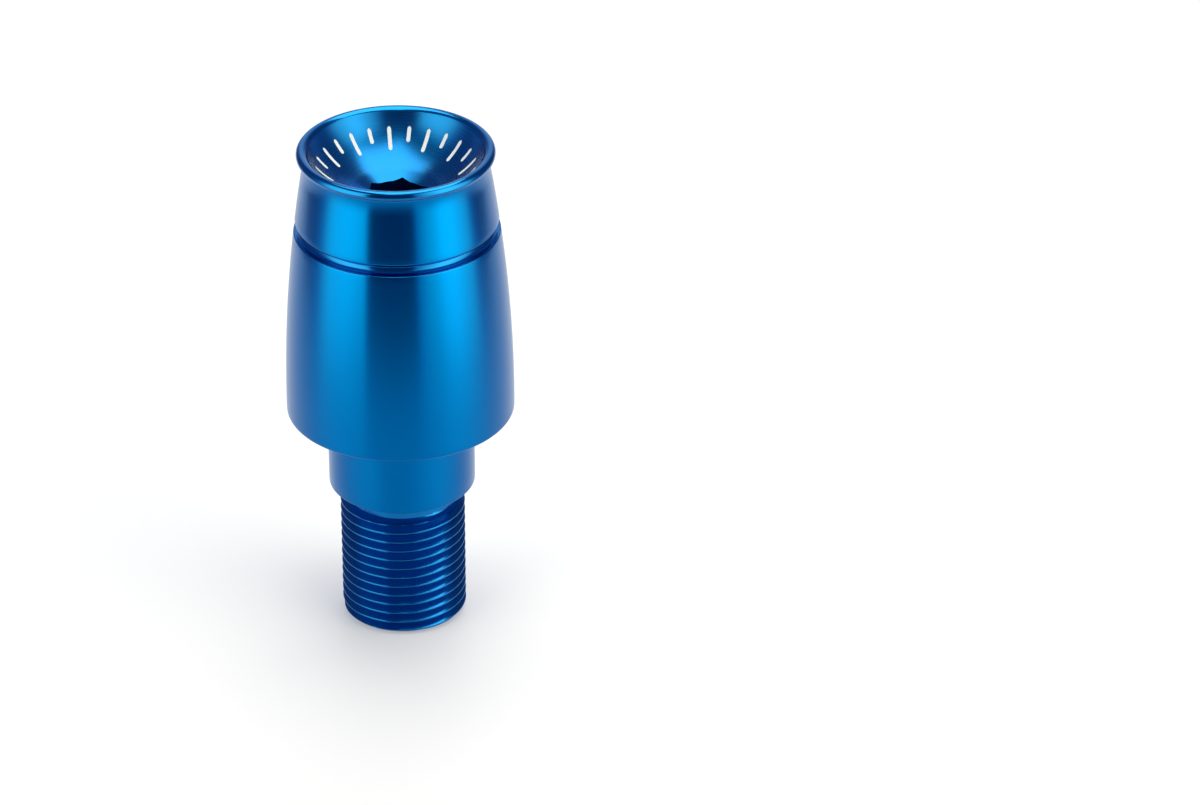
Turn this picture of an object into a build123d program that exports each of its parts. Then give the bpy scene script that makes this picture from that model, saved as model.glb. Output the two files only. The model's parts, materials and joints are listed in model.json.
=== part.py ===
from build123d import *
from math import asin, cos, degrees, radians, sin, sqrt, tan
import os

# Bar end weight for a handlebar, turned from one piece of aluminium. Sizes in millimetres.
# Z runs up the turning axis, from the flat threaded end at Z = 0 to the dished end.

# Threaded stub, and the round neck between the thread and the shoulder
stub_length = 21.5
thread_major_dia = 18.0
thread_end_chamfer = 0.75
neck_width = 2.9
neck_depth = 0.9
neck_fillet = 0.25
flank_angle = 30.0

# Plain shoulder that stands the head off from the end of the bar
shoulder_length = 12.0
shoulder_step = 1.5
shoulder_edge = 0.2
shoulder_root_fillet = 0.3

# Head: barrel and collar share one bowed line, above a short straight land
head_length = 41.0
barrel_dia = 32.5
barrel_land = 0.9
bow_radius = 220.0
barrel_edge = 0.35

# Round-bottomed groove that parts the collar from the barrel
barrel_height = 28.5
groove_width = 1.6
groove_depth = 1.2
groove_edge = 0.15

# Round lip bead, its flatter crown on the side of the bowl, and the hollow flare that leads out to it
lip_overhang = 1.16
lip_bead_radius = 0.7
crown_radius = 1.15
crown_start_angle = 10.0
crown_end_angle = 52.0
flare_radius = 9.0
flare_reach = 0.2
flare_root_fillet = 0.3

# Bowl inside the lip
dish_depth = 6.15
dish_floor_dia = 11.9
dish_wall_radius = 12.0

# Drive socket in the floor of the bowl: countersink, pilot hole and hexagon
hex_across_flats = 8.0
hex_depth = 9.0
hex_turn = 22.0
pilot_over_flats = 0.2
pilot_below_hex = 3.0
drill_point_angle = 118.0
countersink_angle = 120.0

# Radii, heights and centres that follow from the sizes above
thread_r = thread_major_dia / 2
neck_r = thread_r - neck_depth
shoulder_r = thread_r + shoulder_step
barrel_r = barrel_dia / 2
pilot_r = (hex_across_flats + pilot_over_flats) / 2
neck_z = stub_length - neck_width
shoulder_z = stub_length
barrel_z = shoulder_z + shoulder_length
top_z = barrel_z + head_length
groove_low_z = barrel_z + barrel_height
groove_mid_z = groove_low_z + groove_width / 2
bow_centre = (barrel_r - bow_radius, barrel_z + barrel_land)
dish_floor_z = top_z - dish_depth


# A closed outline in the half section: first number radius, second number height
def outline(*points):
    return make_face(Polyline(*points, close=True))


# Rounds the corner of a half section nearest to the given radius and height
def rounded(section, radius, height, size):
    corner = section.vertices().sort_by_distance((radius, height, 0))[0]
    return fillet(corner, size)


# Radius of the bowed outside line at a height
def bow_r(height):
    return bow_centre[0] + sqrt(bow_radius**2 - (height - bow_centre[1]) ** 2)


# Centre of the lip bead, which overhangs the bowed line
def bead_centre():
    height = top_z - lip_bead_radius
    return bow_r(height) + lip_overhang - lip_bead_radius, height


# Centre of the crown arc, which leaves the bead a little inside its top
def crown_centre():
    bead_r, bead_z = bead_centre()
    gap = crown_radius - lip_bead_radius
    start = radians(crown_start_angle)
    return bead_r + gap * sin(start), bead_z - gap * cos(start)


# Mouth of the bowl, where the crown arc ends
def bowl_mouth():
    crown_r, crown_z = crown_centre()
    end = radians(crown_end_angle)
    return crown_r - crown_radius * sin(end), crown_z + crown_radius * cos(end)


# Centre of the flare: it is tangent to the bow and ends inside the lip bead
def flare_centre():
    bead_r, bead_z = bead_centre()
    gap_r = bead_r + flare_reach - bow_centre[0]
    gap_z = bead_z - bow_centre[1]
    gap = sqrt(gap_r**2 + gap_z**2)
    reach = bow_radius + flare_radius
    along = (reach**2 - flare_radius**2 + gap**2) / (2 * gap)
    aside = sqrt(reach**2 - along**2)
    centre_r = bow_centre[0] + (along * gap_r + aside * gap_z) / gap
    centre_z = bow_centre[1] + (along * gap_z - aside * gap_r) / gap
    return centre_r, centre_z


# Stub with its end chamfer, the last thread flank and the neck
def stub_section():
    flank_z = neck_z + (thread_r - neck_r) * tan(radians(flank_angle))
    section = outline(
        (0, 0),
        (thread_r - thread_end_chamfer, 0),
        (thread_r, thread_end_chamfer),
        (thread_r, neck_z),
        (neck_r, flank_z),
        (neck_r, shoulder_z),
        (0, shoulder_z),
    )
    return rounded(section, neck_r, flank_z, neck_fillet)


# Plain shoulder between the stub and the head
def shoulder_section():
    section = outline((0, shoulder_z), (shoulder_r, shoulder_z), (shoulder_r, barrel_z), (0, barrel_z))
    return rounded(section, shoulder_r, shoulder_z, shoulder_edge)


# Barrel, collar and flare in one outside line, with the crowned lip bead on top
def head_section():
    bead_r, bead_z = bead_centre()
    flare_r, flare_z = flare_centre()
    mouth_r, mouth_z = bowl_mouth()
    lean = degrees(asin((flare_z - bow_centre[1]) / (bow_radius + flare_radius)))
    rise = degrees(asin((bead_z - flare_z) / flare_radius))
    base = Polyline((0, mouth_z), (0, barrel_z), (barrel_r, barrel_z), (barrel_r, bow_centre[1]))
    bow = CenterArc(bow_centre, bow_radius, 0, lean)
    flare = CenterArc((flare_r, flare_z), flare_radius, 180 + lean, -(lean + rise))
    crown_sweep = crown_end_angle - crown_start_angle
    crown = CenterArc(crown_centre(), crown_radius, 90 + crown_start_angle, crown_sweep)
    chord = Line(flare @ 1, crown @ 0)
    roof = Line((mouth_r, mouth_z), (0, mouth_z))
    bead = Pos(bead_r, bead_z) * Circle(lip_bead_radius)
    section = make_face([*base.edges(), bow, flare, chord, crown, roof]) + bead
    section = rounded(section, barrel_r, barrel_z, barrel_edge)
    root_z = bead_z - 0.8 * lip_bead_radius
    root_r = flare_r - sqrt(flare_radius**2 - (root_z - flare_z) ** 2)
    return rounded(section, root_r, root_z, flare_root_fillet)


# Groove between barrel and collar, with a full round bottom
def groove_section():
    round_r = groove_width / 2
    floor_r = bow_r(groove_mid_z) - groove_depth
    outside = barrel_r + groove_depth
    slot = outline(
        (floor_r + round_r, groove_mid_z - round_r),
        (outside, groove_mid_z - round_r),
        (outside, groove_mid_z + round_r),
        (floor_r + round_r, groove_mid_z + round_r),
    )
    return slot + Pos(floor_r + round_r, groove_mid_z) * Circle(round_r)


# Bowl from the crown of the lip down to the socket
def dish_section():
    mouth = bowl_mouth()
    floor = (dish_floor_dia / 2, dish_floor_z)
    wall = RadiusArc(mouth, floor, dish_wall_radius)
    rest = Polyline(floor, (0, dish_floor_z), (0, mouth[1]), mouth)
    return make_face([wall, *rest.edges()])


# Countersink and drilled pilot hole under the bowl
def pilot_section():
    sink_r = dish_floor_dia / 2
    sink_z = dish_floor_z - (sink_r - pilot_r) / tan(radians(countersink_angle / 2))
    full_z = dish_floor_z - hex_depth - pilot_below_hex
    point_z = full_z - pilot_r / tan(radians(drill_point_angle / 2))
    return outline((0, dish_floor_z), (sink_r, dish_floor_z), (pilot_r, sink_z), (pilot_r, full_z), (0, point_z))


# Hexagon cut down through the mouth of the pilot hole
def hex_cut():
    hexagon = RegularPolygon(hex_across_flats / 2, 6, major_radius=False, rotation=hex_turn)
    return Pos(0, 0, dish_floor_z - hex_depth) * extrude(hexagon, hex_depth + dish_depth)


def bar_end_weight():
    section = stub_section() + shoulder_section() + head_section()
    section = rounded(section, neck_r, shoulder_z, neck_fillet)
    section = rounded(section, shoulder_r, barrel_z, shoulder_root_fillet)
    section = section - groove_section() - dish_section() - pilot_section()
    for height in (groove_mid_z - groove_width / 2, groove_mid_z + groove_width / 2):
        section = rounded(section, bow_r(height), height, groove_edge)
    turned = revolve(Plane.XZ * section, Axis.Z, 360)
    return turned - hex_cut()


os.makedirs("parts", exist_ok=True)
weight = bar_end_weight()
export_step(weight, "parts/bar_end_weight.step")
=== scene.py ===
import json
import math
import bpy
import bmesh
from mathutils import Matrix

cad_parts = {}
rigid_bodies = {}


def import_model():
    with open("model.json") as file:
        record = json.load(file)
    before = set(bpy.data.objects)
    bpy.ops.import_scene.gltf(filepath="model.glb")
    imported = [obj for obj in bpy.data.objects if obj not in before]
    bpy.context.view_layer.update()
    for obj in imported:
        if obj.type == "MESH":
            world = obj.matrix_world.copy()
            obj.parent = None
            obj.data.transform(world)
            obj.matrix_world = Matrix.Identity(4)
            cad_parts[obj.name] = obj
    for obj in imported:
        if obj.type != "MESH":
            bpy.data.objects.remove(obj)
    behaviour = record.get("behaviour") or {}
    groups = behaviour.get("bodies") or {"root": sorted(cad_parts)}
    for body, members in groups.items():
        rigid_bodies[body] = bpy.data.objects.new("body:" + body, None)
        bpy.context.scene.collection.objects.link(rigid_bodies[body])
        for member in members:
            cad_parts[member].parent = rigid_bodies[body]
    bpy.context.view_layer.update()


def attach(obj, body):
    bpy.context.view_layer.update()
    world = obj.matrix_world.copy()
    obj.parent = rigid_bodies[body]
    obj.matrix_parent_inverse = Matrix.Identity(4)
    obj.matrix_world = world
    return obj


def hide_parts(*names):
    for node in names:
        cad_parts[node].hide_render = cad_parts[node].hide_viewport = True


for thing in list(bpy.data.objects):
    bpy.data.objects.remove(thing)

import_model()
print("frame loaded")

mm = 0.001
mergeReach = 2e-7              # metres, within which two vertices become one
sameHeight = 1e-9              # metres, within which two heights are one
tinyEdge = 1e-8                # metres, below which an edge is dropped

# the turned piece, sizes in mm and angles in degrees, radius first and height second where there are two
weight = {
    "segments": 240,
    "sharpAngle": 32.0,        # edges that turn more than this stay crisp
    "threadRadius": 9.0,
    "crestRadius": 8.995,
    "pitch": 1.5,
    "flankAngle": 30.0,        # of the thread's sides and of the slope that ends it at the neck
    "crestFlat": 0.19,
    "crestRound": 0.12,
    "rootRound": 0.08,
    "firstCrest": 1.095,       # height of a crest where the angle is 0
    "rowSteps": (              # heights of one turn's mesh rows from the middle of its crest
        -0.095, -0.026, 0.026, 0.095, 0.13, 0.17, 0.62, 0.68, 0.72, 0.75, 0.78, 0.82, 0.88, 1.33, 1.37,
    ),
    "spareTurns": 2,           # turns of rows that start below the end face and are pressed flat into it
    "endChamfer": 0.75,
    "endRings": (7.0, 2.5),    # radii of the rings in the flat end face
    "neckRadius": 8.1,
    "neckLow": 18.6,
    "neckFillet": 0.25,
    "neckRing": 20.0,          # height of a ring on the plain neck
    "shoulderLow": 21.5,
    "shoulderRadius": 10.5,
    "shoulderEdge": 0.2,
    "shoulderRoot": 0.3,
    "shoulderFaceRing": 9.2,   # radius of a ring in the shoulder's lower face
    "shoulderRings": (24.0, 27.0, 30.0),   # heights of the rings up the shoulder
    "barrelLow": 33.5,
    "barrelRadius": 16.25,
    "barrelEdge": 0.35,
    "barrelFaceRing": 13.5,    # radius of a ring in the barrel's lower face
    "barrelSteps": 26,
    "bowStart": 34.4,
    "bowRadius": 220.0,
    "grooveLow": 62.0,
    "grooveWidth": 1.6,
    "grooveDepth": 1.2,
    "grooveEdge": 0.15,
    "grooveSteps": 16,
    "collarSteps": 8,
    "top": 74.5,
    "lipOverhang": 1.16,
    "beadRadius": 0.7,
    "beadSteps": 26,
    "crownRadius": 1.15,
    "crownAngles": (10.0, 52.0),   # in from the top of the lip, where its flatter crown starts and ends
    "crownSteps": 16,
    "flareRadius": 9.0,
    "flareReach": 0.2,
    "flareSteps": 12,
    "flareFillet": 0.3,
    "filletSteps": 5,
    "dishFloor": (5.95, 68.35),
    "dishRadius": 12.0,
    "dishSteps": 22,
    "coneSlope": 30.0,
    "coneSteps": 4,
    "hexTurn": 22.0,
    "hexFlats": 8.0,
    "hexRings": (66.0, 64.0, 62.0),   # heights of the rings down the hexagon
    "hexFloor": 59.35,
    "pilotRadius": 4.1,
    "pilotFloor": 56.35,
    "drillRing": (2.0, 55.09),
    "drillTip": 53.89,
}

# material slots on the turned piece, in the order of the finishes below
satin, bright, thread, dish, socket = range(5)


def arcPoints(centre, radius, start, end, steps):
    angles = [math.radians(start + (end - start) * i / steps) for i in range(steps + 1)]
    return [(centre[0] + radius * math.cos(a), centre[1] + radius * math.sin(a)) for a in angles]


def angleOf(centre, point):
    return math.degrees(math.atan2(point[1] - centre[1], point[0] - centre[0]))


def shortTurn(start, end):
    # degrees from one angle to the other, the short way round
    return (end - start + 180) % 360 - 180


def unitVector(start, end):
    x, z = end[0] - start[0], end[1] - start[1]
    length = math.hypot(x, z)
    return x / length, z / length


def circlesMeet(a, ra, b, rb, side):
    # the point at ra from a and rb from b, to the left (1) or right (-1) of the way from a to b
    dx, dz = b[0] - a[0], b[1] - a[1]
    gap = math.hypot(dx, dz)
    along = (ra * ra - rb * rb + gap * gap) / (2 * gap)
    aside = side * math.sqrt(ra * ra - along * along)
    return a[0] + (along * dx - aside * dz) / gap, a[1] + (along * dz + aside * dx) / gap


def roundCorner(before, corner, after, radius, steps=6):
    # arc that rounds a corner, whose two sides lead to the points before and after it
    ax, az = unitVector(corner, before)
    bx, bz = unitVector(corner, after)
    mx, mz = unitVector((0, 0), (ax + bx, az + bz))
    half = math.acos(ax * bx + az * bz) / 2
    reach = radius / math.tan(half)
    centre = (corner[0] + mx * radius / math.sin(half), corner[1] + mz * radius / math.sin(half))
    start = angleOf(centre, (corner[0] + ax * reach, corner[1] + az * reach))
    end = angleOf(centre, (corner[0] + bx * reach, corner[1] + bz * reach))
    return arcPoints(centre, radius, start, start + shortTurn(start, end), steps)


def bowPoint(w, z):
    # the point at this height on the one bowed line of barrel and collar
    rise = z - w["bowStart"]
    return w["barrelRadius"] - w["bowRadius"] + math.sqrt(w["bowRadius"] ** 2 - rise ** 2), z


def bowPoints(w, low, high, steps):
    # up the bowed line, without the point at the top
    return [bowPoint(w, low + (high - low) * i / steps) for i in range(steps)]


def beadCentre(w):
    z = w["top"] - w["beadRadius"]
    return bowPoint(w, z)[0] + w["lipOverhang"] - w["beadRadius"], z


def crownArc(w):
    # the lip's flatter arc on the side of the bowl, from the bead to the mouth of the bowl
    bead = beadCentre(w)
    gap = w["crownRadius"] - w["beadRadius"]
    start, end = w["crownAngles"]
    lean = math.radians(start)
    centre = (bead[0] + gap * math.sin(lean), bead[1] - gap * math.cos(lean))
    return arcPoints(centre, w["crownRadius"], 90 + start, 90 + end, w["crownSteps"])


def dishArc(w):
    # centre of the bowl's hollow wall, and the mouth where the wall starts
    mouth = crownArc(w)[-1]
    return circlesMeet(mouth, w["dishRadius"], w["dishFloor"], w["dishRadius"], -1), mouth


def grooveArcs(w):
    # lower edge, round bottom and upper edge of the groove
    half = w["grooveWidth"] / 2
    low, middle, high = w["grooveLow"], w["grooveLow"] + half, w["grooveLow"] + w["grooveWidth"]
    centre = (bowPoint(w, middle)[0] - w["grooveDepth"] + half, middle)
    below, above = bowPoint(w, low - 1), bowPoint(w, high + 1)
    lowEdge = roundCorner(below, bowPoint(w, low), (centre[0], low), w["grooveEdge"])
    highEdge = roundCorner((centre[0], high), bowPoint(w, high), above, w["grooveEdge"])
    return lowEdge, arcPoints(centre, half, 270, 90, w["grooveSteps"]), highEdge


def shoulderProfile(w):
    # neck, shoulder and the barrel's lower edge; a point 1 mm along a side gives only its direction
    low, high = w["shoulderLow"], w["barrelLow"]
    neck, shoulder, barrel = w["neckRadius"], w["shoulderRadius"], w["barrelRadius"]
    neckTop = roundCorner((neck, low - 1), (neck, low), (shoulder, low), w["neckFillet"])
    edge = roundCorner((shoulder - 1, low), (shoulder, low), (shoulder, high), w["shoulderEdge"])
    root = roundCorner((shoulder, low), (shoulder, high), (barrel, high), w["shoulderRoot"])
    barrelEdge = roundCorner((barrel - 1, high), (barrel, high), (barrel, high + 1), w["barrelEdge"])
    return [
        (bright, [(neck, w["neckRing"])] + neckTop + [(w["shoulderFaceRing"], low)]),
        (satin, edge + [(shoulder, z) for z in w["shoulderRings"]] + root),
        (satin, [(w["barrelFaceRing"], high)] + barrelEdge),
    ]


def barrelProfile(w):
    lowEdge, bottom, highEdge = grooveArcs(w)
    barrel = bowPoints(w, w["bowStart"], lowEdge[0][1], w["barrelSteps"])
    return [(satin, barrel + lowEdge[:1]), (bright, lowEdge[1:] + bottom), (bright, highEdge[:-1])]


def lipProfile(w):
    # the flare is tangent to the bow and aims into the bead, and a small fillet joins it to the bead
    bead = beadCentre(w)
    bow = (w["barrelRadius"] - w["bowRadius"], w["bowStart"])
    flareEnd = (bead[0] + w["flareReach"], bead[1])
    flare = circlesMeet(bow, w["bowRadius"] + w["flareRadius"], flareEnd, w["flareRadius"], -1)
    fromFlare, fromBead = w["flareRadius"] - w["flareFillet"], w["beadRadius"] + w["flareFillet"]
    fillet = circlesMeet(flare, fromFlare, bead, fromBead, 1)
    lean = angleOf(bow, flare)
    tangent = bow[1] + w["bowRadius"] * math.sin(math.radians(lean))
    collarLow = grooveArcs(w)[2][-1][1]
    collar = bowPoints(w, collarLow, tangent, w["collarSteps"])
    stop = angleOf(flare, fillet) % 360
    flareArc = arcPoints(flare, w["flareRadius"], 180 + lean, stop, w["flareSteps"])
    start = angleOf(fillet, (fillet[0] * 2 - flare[0], fillet[1] * 2 - flare[1]))
    stop = start + shortTurn(start, angleOf(fillet, bead))
    filletArc = arcPoints(fillet, w["flareFillet"], start, stop, w["filletSteps"])
    stop = 90 + w["crownAngles"][0]
    beadArc = arcPoints(bead, w["beadRadius"], angleOf(bead, fillet), stop, w["beadSteps"])
    return [(satin, collar + flareArc), (bright, filletArc[1:]), (bright, beadArc[1:] + crownArc(w)[1:])]


def dishProfile(w):
    centre, mouth = dishArc(w)
    start, stop = angleOf(centre, mouth), angleOf(centre, w["dishFloor"])
    return [(dish, arcPoints(centre, w["dishRadius"], start, stop, w["dishSteps"])[1:])]


def threadTop(w):
    # height where the neck is plain above the thread's last slope and its fillet
    drop = w["threadRadius"] - w["neckRadius"] + w["neckFillet"]
    return w["neckLow"] + math.tan(math.radians(w["flankAngle"])) * drop


def threadLimit(w, z):
    # largest radius that the end chamfer, the last slope and the neck fillet leave at this height
    limit = min(w["crestRadius"], w["threadRadius"] - w["endChamfer"] + z)
    if z <= w["neckLow"]:
        return limit
    slope = math.tan(math.radians(w["flankAngle"]))
    limit = min(limit, w["threadRadius"] - (z - w["neckLow"]) / slope)
    reach = w["neckFillet"] * slope
    cornerZ = w["neckLow"] + (w["threadRadius"] - w["neckRadius"]) * slope
    centreZ = cornerZ + reach
    if z >= centreZ:
        return w["neckRadius"]
    if z > cornerZ - reach / 2:
        rise = w["neckFillet"] - math.sqrt(w["neckFillet"] ** 2 - (centreZ - z) ** 2)
        limit = min(limit, w["neckRadius"] + rise)
    return max(limit, w["neckRadius"])


def threadForm(w, phase):
    # radius of the ridged surface, phase in mm from the middle of a crest
    pitch, crest, half = w["pitch"], w["crestRadius"], w["crestFlat"] / 2
    crestRound, rootRound = w["crestRound"], w["rootRound"]
    flank = math.radians(w["flankAngle"])
    slope = math.tan(flank)
    t = abs((phase + pitch / 2) % pitch - pitch / 2)
    flatEnd = half - crestRound * slope
    if t <= flatEnd:
        return crest
    if t < half + crestRound * slope / 2:
        return crest - crestRound + math.sqrt(crestRound ** 2 - (t - flatEnd) ** 2)
    x = pitch / 2 - t
    if x < rootRound * math.cos(flank):
        vee = crest - (pitch / 2 - half) / slope
        return vee + 2 * rootRound - math.sqrt(rootRound ** 2 - x ** 2)
    return crest - (t - half) / slope


def addVertex(mesh, radius, angle, height):
    return mesh.verts.new((radius * mm * math.cos(angle), radius * mm * math.sin(angle), height * mm))


def addRing(mesh, angles, points):
    # one vertex at each angle, with a radius and a height of its own
    return [addVertex(mesh, r, a, z) for (r, z), a in zip(points, angles)]


def addBand(mesh, lower, upper, material):
    for i in range(len(lower)):
        j = (i + 1) % len(lower)
        face = mesh.faces.new((lower[i], lower[j], upper[j], upper[i]))
        face.material_index = material


def addRings(mesh, angles, last, rings, material):
    # carries the surface on from the last ring, and gives the ring where it ends
    for points in rings:
        following = addRing(mesh, angles, points)
        addBand(mesh, last, following, material)
        last = following
    return last


def addFan(mesh, ring, height, material):
    # closes a ring to a point on the axis
    tip = mesh.verts.new((0, 0, height * mm))
    for i in range(len(ring)):
        face = mesh.faces.new((ring[i], ring[(i + 1) % len(ring)], tip))
        face.material_index = material


def addGrid(mesh, grid):
    for column, following in zip(grid, grid[1:]):
        for j in range(len(column) - 1):
            mesh.faces.new((column[j], following[j], following[j + 1], column[j + 1]))


def ringAt(mesh, angles, height):
    # the vertices at this height, in order from the first angle on
    found = [v for v in mesh.verts if abs(v.co.z - height * mm) < sameHeight]
    halfStep = math.pi / len(angles)
    turnOf = lambda v: (math.atan2(v.co.y, v.co.x) - angles[0] + halfStep) % (2 * math.pi)
    return sorted(found, key=turnOf)


def addThread(mesh, w, angles):
    # rows of vertices follow the helix, held between the end face and the neck
    pitch, first, steps, top = w["pitch"], w["firstCrest"], w["rowSteps"], threadTop(w)
    count = len(steps)
    rows = (math.ceil(top / pitch) + w["spareTurns"]) * count
    grid = []
    for angle in angles:
        shift = math.degrees(angle) / 360 * pitch
        column = []
        for j in range(rows + count):
            z = first + shift + (j // count - w["spareTurns"]) * pitch + steps[j % count]
            z = min(max(z, 0), top)
            r = min(threadForm(w, z - shift - first), threadLimit(w, z))
            column.append(addVertex(mesh, r, angle, z))
        grid.append(column)
    for i, column in enumerate(grid):
        # the last column meets the first one a turn further up
        following = grid[i + 1] if i + 1 < len(grid) else grid[0][count:]
        for j in range(rows - 1):
            corners = (column[j], following[j], following[j + 1], column[j + 1])
            heights = [v.co.z for v in corners]
            if max(heights) > min(heights):
                face = mesh.faces.new(corners)
                face.material_index = thread


def socketRim(w, angles):
    # radius at each angle where the countersink meets the hexagon or the wider pilot hole
    rim = []
    for angle in angles:
        fromFlat = (math.degrees(angle) - w["hexTurn"]) % 60 - 30
        rim.append(max(w["pilotRadius"], w["hexFlats"] / 2 / math.cos(math.radians(fromFlat))))
    return rim


def coneRings(w, rim):
    # countersink from the floor of the bowl down to the socket's rim
    floorR, floorZ = w["dishFloor"]
    slope = math.tan(math.radians(w["coneSlope"]))
    rings = []
    for k in range(1, w["coneSteps"] + 1):
        radii = [floorR + (r - floorR) * k / w["coneSteps"] for r in rim]
        rings.append([(r, floorZ - (floorR - r) * slope) for r in radii])
    return rings


def linkPiece(name, mesh):
    data = bpy.data.meshes.new(name)
    mesh.to_mesh(data)
    mesh.free()
    piece = bpy.data.objects.new(name, data)
    bpy.context.collection.objects.link(piece)
    return piece


def buildWeight(w):
    count = w["segments"]
    angles = [math.radians(w["hexTurn"] + 360 * i / count) for i in range(count)]
    roundRings = lambda points: [[point] * count for point in points]
    mesh = bmesh.new()
    addThread(mesh, w, angles)
    bmesh.ops.remove_doubles(mesh, verts=mesh.verts[:], dist=mergeReach)
    outer, last = ringAt(mesh, angles, 0), ringAt(mesh, angles, threadTop(w))
    print("thread rings", len(outer), len(last), "of", count)

    # flat end face
    for radius in w["endRings"]:
        inner = addRing(mesh, angles, [(radius, 0)] * count)
        addBand(mesh, inner, outer, satin)
        outer = inner
    addFan(mesh, outer, 0, satin)

    # from the neck up over the lip and down to the floor of the bowl
    for material, points in shoulderProfile(w) + barrelProfile(w) + lipProfile(w) + dishProfile(w):
        last = addRings(mesh, angles, last, roundRings(points), material)

    # countersink, hexagon and pilot hole
    rim = socketRim(w, angles)
    last = addRings(mesh, angles, last, coneRings(w, rim), dish)
    hexHeights = (*w["hexRings"], w["hexFloor"])
    last = addRings(mesh, angles, last, [[(r, z) for r in rim] for z in hexHeights], socket)
    pilot = [(w["pilotRadius"], w["hexFloor"]), (w["pilotRadius"], w["pilotFloor"]), w["drillRing"]]
    last = addRings(mesh, angles, last, roundRings(pilot), socket)
    addFan(mesh, last, w["drillTip"], socket)

    bmesh.ops.remove_doubles(mesh, verts=mesh.verts[:], dist=mergeReach)
    bmesh.ops.dissolve_degenerate(mesh, dist=tinyEdge, edges=mesh.edges[:])
    bmesh.ops.recalc_face_normals(mesh, faces=mesh.faces[:])
    openEdges = [e for e in mesh.edges if len(e.link_faces) != 2]
    print("weight mesh", len(mesh.faces), "faces,", len(openEdges), "open edges")
    piece = linkPiece("turnedWeight", mesh)
    piece.data.shade_smooth()
    piece.data.set_sharp_from_angle(angle=math.radians(w["sharpAngle"]))
    return piece


turnedWeight = buildWeight(weight)
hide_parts("bar_end_weight")
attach(turnedWeight, "root")
print("turned weight made")

# plain white graduation marks in the bowl, long and short by turns, sizes in mm and angles in degrees
marks = {
    "count": 24,
    "firstTurn": 7.5,
    "longEnds": (8.6, 11.2),   # radius where a mark starts and ends
    "shortEnds": (9.6, 11.2),
    "width": 0.55,
    "roundShare": 0.98,        # width of a round end against a true half circle
    "tipHalfWidth": 0.01,
    "proud": 0.02,
    "faces": (16, 4),          # along and across one mark
}


def markHalfWidth(m, fromEnd):
    half = m["width"] / 2
    if fromEnd >= half:
        return half
    return math.sqrt(half ** 2 - (half - fromEnd) ** 2) * m["roundShare"] + m["tipHalfWidth"]


def buildMarks(m, w):
    centre = dishArc(w)[0]
    surface = w["dishRadius"] - m["proud"]
    along, across = m["faces"]
    mesh = bmesh.new()
    for k in range(m["count"]):
        turn = math.radians(m["firstTurn"] + 360 * k / m["count"])
        inner, outer = m["longEnds"] if k % 2 == 0 else m["shortEnds"]
        grid = []
        for i in range(along + 1):
            r = inner + (outer - inner) * i / along
            z = centre[1] - math.sqrt(surface ** 2 - (r - centre[0]) ** 2)
            half = markHalfWidth(m, min(i, along - i) / along * (outer - inner))
            angles = [turn + half * (j / across * 2 - 1) / r for j in range(across + 1)]
            grid.append([addVertex(mesh, r, a, z) for a in angles])
        addGrid(mesh, grid)
    piece = linkPiece("bowlMarks", mesh)
    piece.data.shade_smooth()
    return piece


bowlMarks = buildMarks(marks, weight)
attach(bowlMarks, "root")
print("bowl marks made")

# photograph's camera: the piece stands left of the middle, seen from 30 degrees above
photoCamera = {
    "location": (0.02846, -0.55595, 0.35688),
    "rotation": (59.8485, -0.2654, 0.1541),   # degrees
    "lens": 135.0,
    "sensor": 36.0,
    "clip": (0.01, 20.0),
}


def buildCamera(c):
    data = bpy.data.cameras.new("photoCamera")
    data.lens = c["lens"]
    data.sensor_width = c["sensor"]
    data.clip_start, data.clip_end = c["clip"]
    camera = bpy.data.objects.new("photoCamera", data)
    camera.location = c["location"]
    camera.rotation_euler = [math.radians(a) for a in c["rotation"]]
    bpy.context.collection.objects.link(camera)
    bpy.context.scene.camera = camera


buildCamera(photoCamera)
print("camera set")


# helpers for node trees; where is the node's place in the editor

def newNode(tree, kind, where, **values):
    node = tree.nodes.new(kind)
    node.location = where
    for key, value in values.items():
        setattr(node, key, value)
    return node


def setInputs(node, values):
    for name, value in values.items():
        node.inputs[name].default_value = value


def mathNode(tree, operation, where, *values, clamp=False):
    node = newNode(tree, "ShaderNodeMath", where, operation=operation, use_clamp=clamp)
    for plug, value in zip(node.inputs, values):
        if isinstance(value, (int, float)):
            plug.default_value = value
        else:
            tree.links.new(value, plug)
    return node.outputs[0]


def rangeNode(tree, where, value, source, target, **kinds):
    # carries the source range over to the target range, and stops at its ends
    node = newNode(tree, "ShaderNodeMapRange", where, **kinds)
    setInputs(node, {"From Min": source[0], "From Max": source[1], "To Min": target[0], "To Max": target[1]})
    tree.links.new(value, node.inputs["Value"])
    return node.outputs[0]


def noiseNode(tree, where, vector, values):
    node = newNode(tree, "ShaderNodeTexNoise", where)
    setInputs(node, values)
    tree.links.new(vector, node.inputs["Vector"])
    return node


def bumpNode(tree, where, height, strength, distance):
    node = newNode(tree, "ShaderNodeBump", where)
    setInputs(node, {"Strength": strength, "Distance": distance})
    tree.links.new(height, node.inputs["Height"])
    return node.outputs[0]


def mixColor(tree, where, share, first, second):
    # sockets 6 and 7 are the two colours, and output 2 is their mix
    node = newNode(tree, "ShaderNodeMix", where, data_type="RGBA")
    tree.links.new(share, node.inputs[0])
    node.inputs[6].default_value = (*first, 1)
    node.inputs[7].default_value = (*second, 1)
    return node.outputs[2]


def mixShader(tree, where, share, first, second):
    node = newNode(tree, "ShaderNodeMixShader", where)
    for plug, value in zip(node.inputs, (share, first, second)):
        tree.links.new(value, plug)
    return node.outputs[0]


def newMaterial(name):
    material = bpy.data.materials.new(name)
    material.use_nodes = True
    tree = material.node_tree
    return material, tree, tree.nodes["Principled BSDF"]


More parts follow.
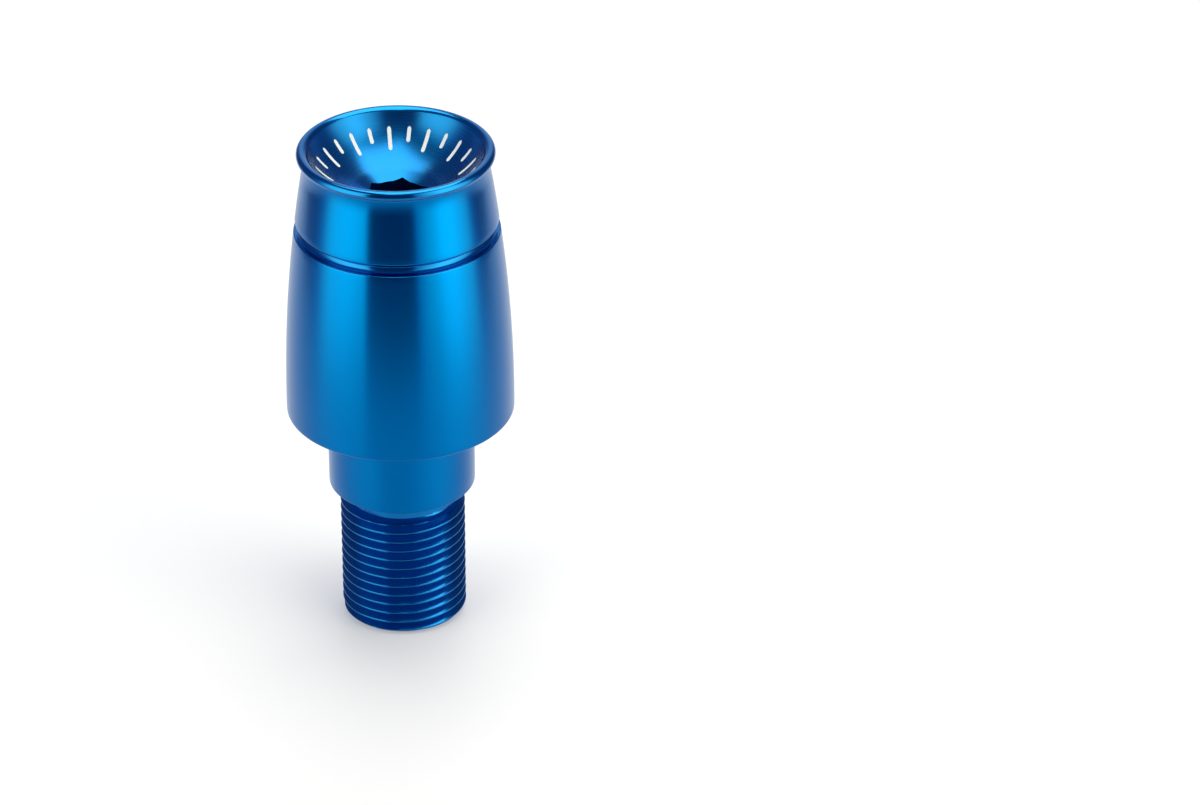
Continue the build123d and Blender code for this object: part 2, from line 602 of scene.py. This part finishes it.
def buildTurnedLines():
    # fine tool lines that run round the turning axis, and soft clouds, both as values from 0 to 1
    group = bpy.data.node_groups.new("turnedLines", "ShaderNodeTree")
    for name in ("Lines Per mm", "Waviness", "Clouds Per mm"):
        group.interface.new_socket(name=name, in_out="INPUT", socket_type="NodeSocketFloat")
    for name in ("Lines", "Clouds"):
        group.interface.new_socket(name=name, in_out="OUTPUT", socket_type="NodeSocketFloat")
    start = newNode(group, "NodeGroupInput", (-1100, 0))
    end = newNode(group, "NodeGroupOutput", (600, 0))
    place = newNode(group, "ShaderNodeTexCoord", (-1100, -250))
    split = newNode(group, "ShaderNodeSeparateXYZ", (-920, -250))
    group.links.new(place.outputs["Object"], split.inputs[0])
    x, y, z = split.outputs

    # distance from the axis and direction round it
    xx = mathNode(group, "MULTIPLY", (-740, -200), x, x)
    squared = mathNode(group, "MULTIPLY_ADD", (-740, -380), y, y, xx)
    distance = mathNode(group, "SQRT", (-560, -380), squared)
    radius = mathNode(group, "MAXIMUM", (-560, -520), distance, 0.0001)   # never divides by 0
    cosine = mathNode(group, "DIVIDE", (-560, -100), x, radius)
    sine = mathNode(group, "DIVIDE", (-560, -240), y, radius)

    # noise that is fine across the lines and nearly even along them
    density = mathNode(group, "MULTIPLY", (-740, 100), start.outputs["Lines Per mm"], 1 / mm)
    wave = start.outputs["Waviness"]
    acrossFace = mathNode(group, "MULTIPLY", (-380, 100), radius, density)
    u = mathNode(group, "MULTIPLY_ADD", (-200, 100), cosine, wave, acrossFace)
    upSide = mathNode(group, "MULTIPLY", (-380, -60), z, density)
    v = mathNode(group, "MULTIPLY_ADD", (-200, -60), sine, wave, upSide)
    join = newNode(group, "ShaderNodeCombineXYZ", (-40, 60))
    group.links.new(u, join.inputs[0])
    group.links.new(v, join.inputs[1])
    lines = noiseNode(group, (140, 120), join.outputs[0], {"Scale": 1.0, "Detail": 3.0, "Roughness": 0.6})
    group.links.new(lines.outputs["Fac"], end.inputs["Lines"])

    clouds = noiseNode(group, (140, -200), place.outputs["Object"], {"Detail": 2.0})
    cloudScale = mathNode(group, "MULTIPLY", (-40, -260), start.outputs["Clouds Per mm"], 1 / mm)
    group.links.new(cloudScale, clouds.inputs["Scale"])
    group.links.new(clouds.outputs["Fac"], end.inputs["Clouds"])
    return group


turnedLines = buildTurnedLines()

# one entry for each finish that the turned piece carries, in the order of its slots
finishes = {
    "anodisedSatin": {
        "color": (0.0, 0.16, 0.45), "tintSwing": 0.03, "roughness": 0.24, "roughnessSwing": 0.01,
        "anisotropy": 0.8, "coat": 0.0, "edgeCoat": 0.28, "coatRoughness": 0.1,
        "linesPerMm": 16.0, "waviness": 0.3, "cloudsPerMm": 0.15, "bump": 0.001,
    },
    "anodisedBright": {
        "color": (0.0, 0.17, 0.46), "tintSwing": 0.03, "roughness": 0.17, "roughnessSwing": 0.03,
        "anisotropy": 0.5, "coat": 0.2, "edgeCoat": 0.4, "coatRoughness": 0.1,
        "linesPerMm": 8.0, "waviness": 0.3, "cloudsPerMm": 0.2, "bump": 0.006,
    },
    "anodisedThread": {
        "color": (0.0, 0.15, 0.42), "tintSwing": 0.06, "roughness": 0.18, "roughnessSwing": 0.05,
        "anisotropy": 0.4, "coat": 0.25, "edgeCoat": 0.4, "coatRoughness": 0.08,
        "linesPerMm": 5.0, "waviness": 0.6, "cloudsPerMm": 0.3, "bump": 0.02,
    },
    "anodisedDish": {
        "color": (0.0, 0.15, 0.42), "tintSwing": 0.03, "roughness": 0.27, "roughnessSwing": 0.015,
        "anisotropy": 0.6, "coat": 0.22, "edgeCoat": 0.4, "coatRoughness": 0.25,
        "linesPerMm": 16.0, "waviness": 0.3, "cloudsPerMm": 0.2, "bump": 0.0015,
    },
    # painted shade: the socket's colour is darkened to about a third of the outer finish, so the deep
    # hexagon looks shaded by its colour as well as by its depth
    "anodisedSocketPaintedShade": {
        "color": (0.0, 0.05, 0.22), "tintSwing": 0.15, "roughness": 0.42, "roughnessSwing": 0.1,
        "anisotropy": 0.0, "coat": 0.0, "edgeCoat": 0.0, "coatRoughness": 0.1,
        "linesPerMm": 6.0, "waviness": 1.5, "cloudsPerMm": 0.5, "bump": 0.08,
    },
}

# what these finishes share
oxide = {
    "grainTurn": 0.25,         # of a full turn, so that gloss spreads up and down the piece
    "coatFacing": (0.4, 0.7),  # from face on to grazing, where the clear layer grows from coat to edgeCoat
    "bumpDistance": 0.0001,
}


def buildFinish(name, f, shared):
    material, tree, shader = newMaterial(name)
    setInputs(shader, {
        "Metallic": 1.0, "Anisotropic": f["anisotropy"], "Anisotropic Rotation": shared["grainTurn"],
        "Coat Roughness": f["coatRoughness"],
    })
    facing = newNode(tree, "ShaderNodeLayerWeight", (-700, 450)).outputs["Facing"]
    coat = rangeNode(tree, (-450, 450), facing, shared["coatFacing"], (f["coat"], f["edgeCoat"]))
    tree.links.new(coat, shader.inputs["Coat Weight"])
    tangent = newNode(tree, "ShaderNodeTangent", (-350, -500), direction_type="RADIAL", axis="Z")
    tree.links.new(tangent.outputs[0], shader.inputs["Tangent"])
    grain = newNode(tree, "ShaderNodeGroup", (-950, 0), node_tree=turnedLines)
    setInputs(grain, {"Lines Per mm": f["linesPerMm"], "Waviness": f["waviness"]})
    setInputs(grain, {"Clouds Per mm": f["cloudsPerMm"]})
    # colour drifts a little with the dye, roughness and height with the tool lines
    swing = f["tintSwing"]
    tint = rangeNode(tree, (-700, 200), grain.outputs["Clouds"], (0, 1), (1 - swing, 1 + swing))
    color = newNode(tree, "ShaderNodeVectorMath", (-450, 200), operation="SCALE")
    color.inputs[0].default_value = f["color"]
    tree.links.new(tint, color.inputs["Scale"])
    tree.links.new(color.outputs[0], shader.inputs["Base Color"])
    swing = f["roughnessSwing"]
    target = (f["roughness"] - swing, f["roughness"] + swing)
    rough = rangeNode(tree, (-700, -100), grain.outputs["Lines"], (0, 1), target)
    tree.links.new(rough, shader.inputs["Roughness"])
    bump = bumpNode(tree, (-450, -300), grain.outputs["Lines"], f["bump"], shared["bumpDistance"])
    tree.links.new(bump, shader.inputs["Normal"])
    return material


for name, values in finishes.items():
    turnedWeight.data.materials.append(buildFinish(name, values, oxide))


# the marks: pale, matt, etched oxide
markFinish = {
    "color": (0.86, 0.87, 0.88),
    "darkColor": (0.72, 0.75, 0.78),
    "roughness": 0.55,
    "specular": 0.3,
    "specklesPerMm": 9.0,
    "bump": 0.15,
    "bumpDistance": 0.00002,
}


def buildMarkFinish(f):
    material, tree, shader = newMaterial("etchedWhite")
    setInputs(shader, {"Roughness": f["roughness"], "Specular IOR Level": f["specular"]})
    place = newNode(tree, "ShaderNodeTexCoord", (-900, 0)).outputs["Object"]
    grain = {"Scale": f["specklesPerMm"] / mm, "Detail": 2.0}
    speckle = noiseNode(tree, (-700, 0), place, grain).outputs["Fac"]
    tint = mixColor(tree, (-400, 100), speckle, f["darkColor"], f["color"])
    tree.links.new(tint, shader.inputs["Base Color"])
    bump = bumpNode(tree, (-300, -200), speckle, f["bump"], f["bumpDistance"])
    tree.links.new(bump, shader.inputs["Normal"])
    return material


bowlMarks.data.materials.append(buildMarkFinish(markFinish))
print("finishes made")

# pale table top, sizes in metres
table = {
    "halfWidths": (0.107, 0.28),   # at the front and at the back
    "depth": (-0.135, 0.45),   # where it starts and ends
    "faces": (22, 32),
    "drop": 0.00002,           # keeps it just under the piece's flat end
    "color": (0.77, 0.75, 0.77),
    "roughness": 0.4,
    "cameraShare": 0.1,        # share of plain white that the camera sees, and its strength
    "white": 2.5,
    "glossShare": 0.3,         # share that the piece's gloss sees, and the colour that it adds
    "glow": (0.17, 0.2, 0.27),
}


def buildTable(t):
    columns, rows = t["faces"]
    mesh = bmesh.new()
    grid = []
    for i in range(columns + 1):
        column = []
        for j in range(rows + 1):
            back = j / rows
            half, y = [ends[0] * (1 - back) + ends[1] * back for ends in (t["halfWidths"], t["depth"])]
            column.append(mesh.verts.new((half * (2 * i / columns - 1), y, 0)))
        grid.append(column)
    addGrid(mesh, grid)
    floor = linkPiece("paleFloor", mesh)
    floor.location = (0, 0, -t["drop"])
    floor.data.materials.append(buildTableFinish(t))


def buildTableFinish(t):
    material, tree, shader = newMaterial("paleFloor")
    setInputs(shader, {"Base Color": (*t["color"], 1), "Roughness": t["roughness"]})
    path = newNode(tree, "ShaderNodeLightPath", (-700, 400)).outputs
    gloss = mathNode(tree, "MULTIPLY", (-450, 300), path["Is Glossy Ray"], t["glossShare"])
    share = mathNode(tree, "MULTIPLY_ADD", (-270, 400), path["Is Camera Ray"], t["cameraShare"], gloss)
    glow = [part / t["glossShare"] for part in t["glow"]]
    tint = mixColor(tree, (-270, 150), path["Is Glossy Ray"], [t["white"]] * 3, glow)
    light = newNode(tree, "ShaderNodeEmission", (50, 300))
    tree.links.new(tint, light.inputs["Color"])
    top = mixShader(tree, (300, 450), share, shader.outputs[0], light.outputs[0])
    # a camera under the table looks through it
    side = newNode(tree, "ShaderNodeNewGeometry", (50, 800)).outputs["Backfacing"]
    below = mathNode(tree, "MULTIPLY", (300, 650), side, path["Is Camera Ray"])
    clear = newNode(tree, "ShaderNodeBsdfTransparent", (300, 250))
    seeThrough = mixShader(tree, (500, 450), below, top, clear.outputs[0])
    tree.links.new(seeThrough, tree.nodes["Material Output"].inputs["Surface"])
    return material


buildTable(table)

# large soft lamp overhead, place and size in metres
topLamp = {
    "location": (0.103, 0.269, 1.07),
    "size": (0.96, 1.03),
    "turn": 29.0,              # degrees
    "power": 11.0,
    "color": (1.0, 0.98, 0.84),
}


def buildTopLamp(lamp):
    data = bpy.data.lights.new("topLamp", "AREA")
    data.shape = "RECTANGLE"
    data.size, data.size_y = lamp["size"]
    data.energy = lamp["power"]
    data.color = lamp["color"]
    light = bpy.data.objects.new("topLamp", data)
    light.location = lamp["location"]
    light.rotation_euler = (0, 0, math.radians(lamp["turn"]))
    light.visible_camera = False
    bpy.context.collection.objects.link(light)


buildTopLamp(topLamp)

# the room round the piece: a tall soft box at each side, dark above them, and white for the camera
surround = {
    # azimuth from the camera's side in degrees, positive to the right, and strength there
    "strengths": (
        (-180, 1.0), (-168, 0.95), (-157, 0.5), (-145, 0.25), (-108, 0.3), (-98, 0.45), (-90, 0.8),
        (-84, 1.4), (-74, 2.4), (-62, 2.7), (-52, 2.8), (-42, 2.6), (-33, 2.15), (-29.5, 0.35), (-25, 0.17),
        (19, 0.17), (22, 0.35), (25, 1.0), (29, 1.2), (36, 1.75), (44, 2.25), (54, 3.2), (66, 3.3),
        (78, 2.5), (88, 1.8), (97, 0.7), (106, 0.3), (146, 0.22), (157, 0.5), (168, 0.95), (180, 1.0),
    ),
    "rampWhite": 4.0,          # strength that white stands for in the ramp
    "lampTop": (44.0, 51.0),   # elevation of the left and the right soft box's upper edge
    "lampTopSides": 0.3,       # x of the direction, to the left and the right, where each is reached
    "lampSoftness": 7.0,       # degrees over which that edge fades, each way
    "lampColor": (1.0, 0.98, 0.8),
    "darkStrength": 0.25,
    "darkColor": (0.2, 0.42, 1.0),
    "colorShare": 0.6,         # strength times this is the share of the lamp's colour over the dark one
}


def strengthRamp(tree, where, turn, s):
    # strength of the surround by azimuth
    ramp = newNode(tree, "ShaderNodeValToRGB", where)
    tree.links.new(turn, ramp.inputs[0])
    stops = ramp.color_ramp.elements
    for degrees, strength in s["strengths"]:
        if abs(degrees) == 180:
            stop = stops[0 if degrees < 0 else -1]
        else:
            stop = stops.new(degrees / 360 + 0.5)
        level = strength / s["rampWhite"]
        stop.color = (level, level, level, 1)
    return mathNode(tree, "MULTIPLY", (100, 100), ramp.outputs["Color"], s["rampWhite"])


def buildSurround(s):
    world = bpy.data.worlds.new("studioSurround")
    bpy.context.scene.world = world
    world.use_nodes = True
    tree = world.node_tree
    tree.nodes.clear()
    place = newNode(tree, "ShaderNodeTexCoord", (-1100, 0))
    split = newNode(tree, "ShaderNodeSeparateXYZ", (-920, 0))
    tree.links.new(place.outputs["Generated"], split.inputs[0])
    x, y, z = split.outputs
    toCamera = mathNode(tree, "MULTIPLY", (-740, 100), y, -1.0)
    azimuth = mathNode(tree, "ARCTAN2", (-560, 100), x, toCamera)
    turn = mathNode(tree, "MULTIPLY_ADD", (-380, 100), azimuth, 1 / (2 * math.pi), 0.5)
    around = strengthRamp(tree, (-200, 100), turn, s)

    # the soft boxes end at an upper edge, higher on the right
    elevation = mathNode(tree, "ARCSINE", (-740, -200), z)
    elevation = mathNode(tree, "MULTIPLY", (-560, -200), elevation, 180 / math.pi)
    sides, soft = s["lampTopSides"], s["lampSoftness"]
    edge = rangeNode(tree, (-560, -400), x, (-sides, sides), s["lampTop"])
    under = mathNode(tree, "SUBTRACT", (-380, -250), edge, elevation)
    mask = rangeNode(tree, (-200, -250), under, (-soft, soft), (0, 1), interpolation_type="SMOOTHSTEP")
    above = mathNode(tree, "SUBTRACT", (260, 50), around, s["darkStrength"])
    strength = mathNode(tree, "MULTIPLY_ADD", (430, 0), above, mask, s["darkStrength"])
    share = mathNode(tree, "MULTIPLY", (430, -200), strength, s["colorShare"], clamp=True)
    warmth = mixColor(tree, (650, -150), share, s["darkColor"], s["lampColor"])

    room = newNode(tree, "ShaderNodeBackground", (900, 0))
    tree.links.new(warmth, room.inputs["Color"])
    tree.links.new(strength, room.inputs["Strength"])
    white = newNode(tree, "ShaderNodeBackground", (900, 200))
    white.inputs["Color"].default_value = (1, 1, 1, 1)
    path = newNode(tree, "ShaderNodeLightPath", (900, 500)).outputs
    mix = mixShader(tree, (1100, 0), path["Is Camera Ray"], room.outputs[0], white.outputs[0])
    out = newNode(tree, "ShaderNodeOutputWorld", (1300, 0))
    tree.links.new(mix, out.inputs["Surface"])


buildSurround(surround)
bpy.context.scene.view_settings.view_transform = "Standard"
print("studio made")
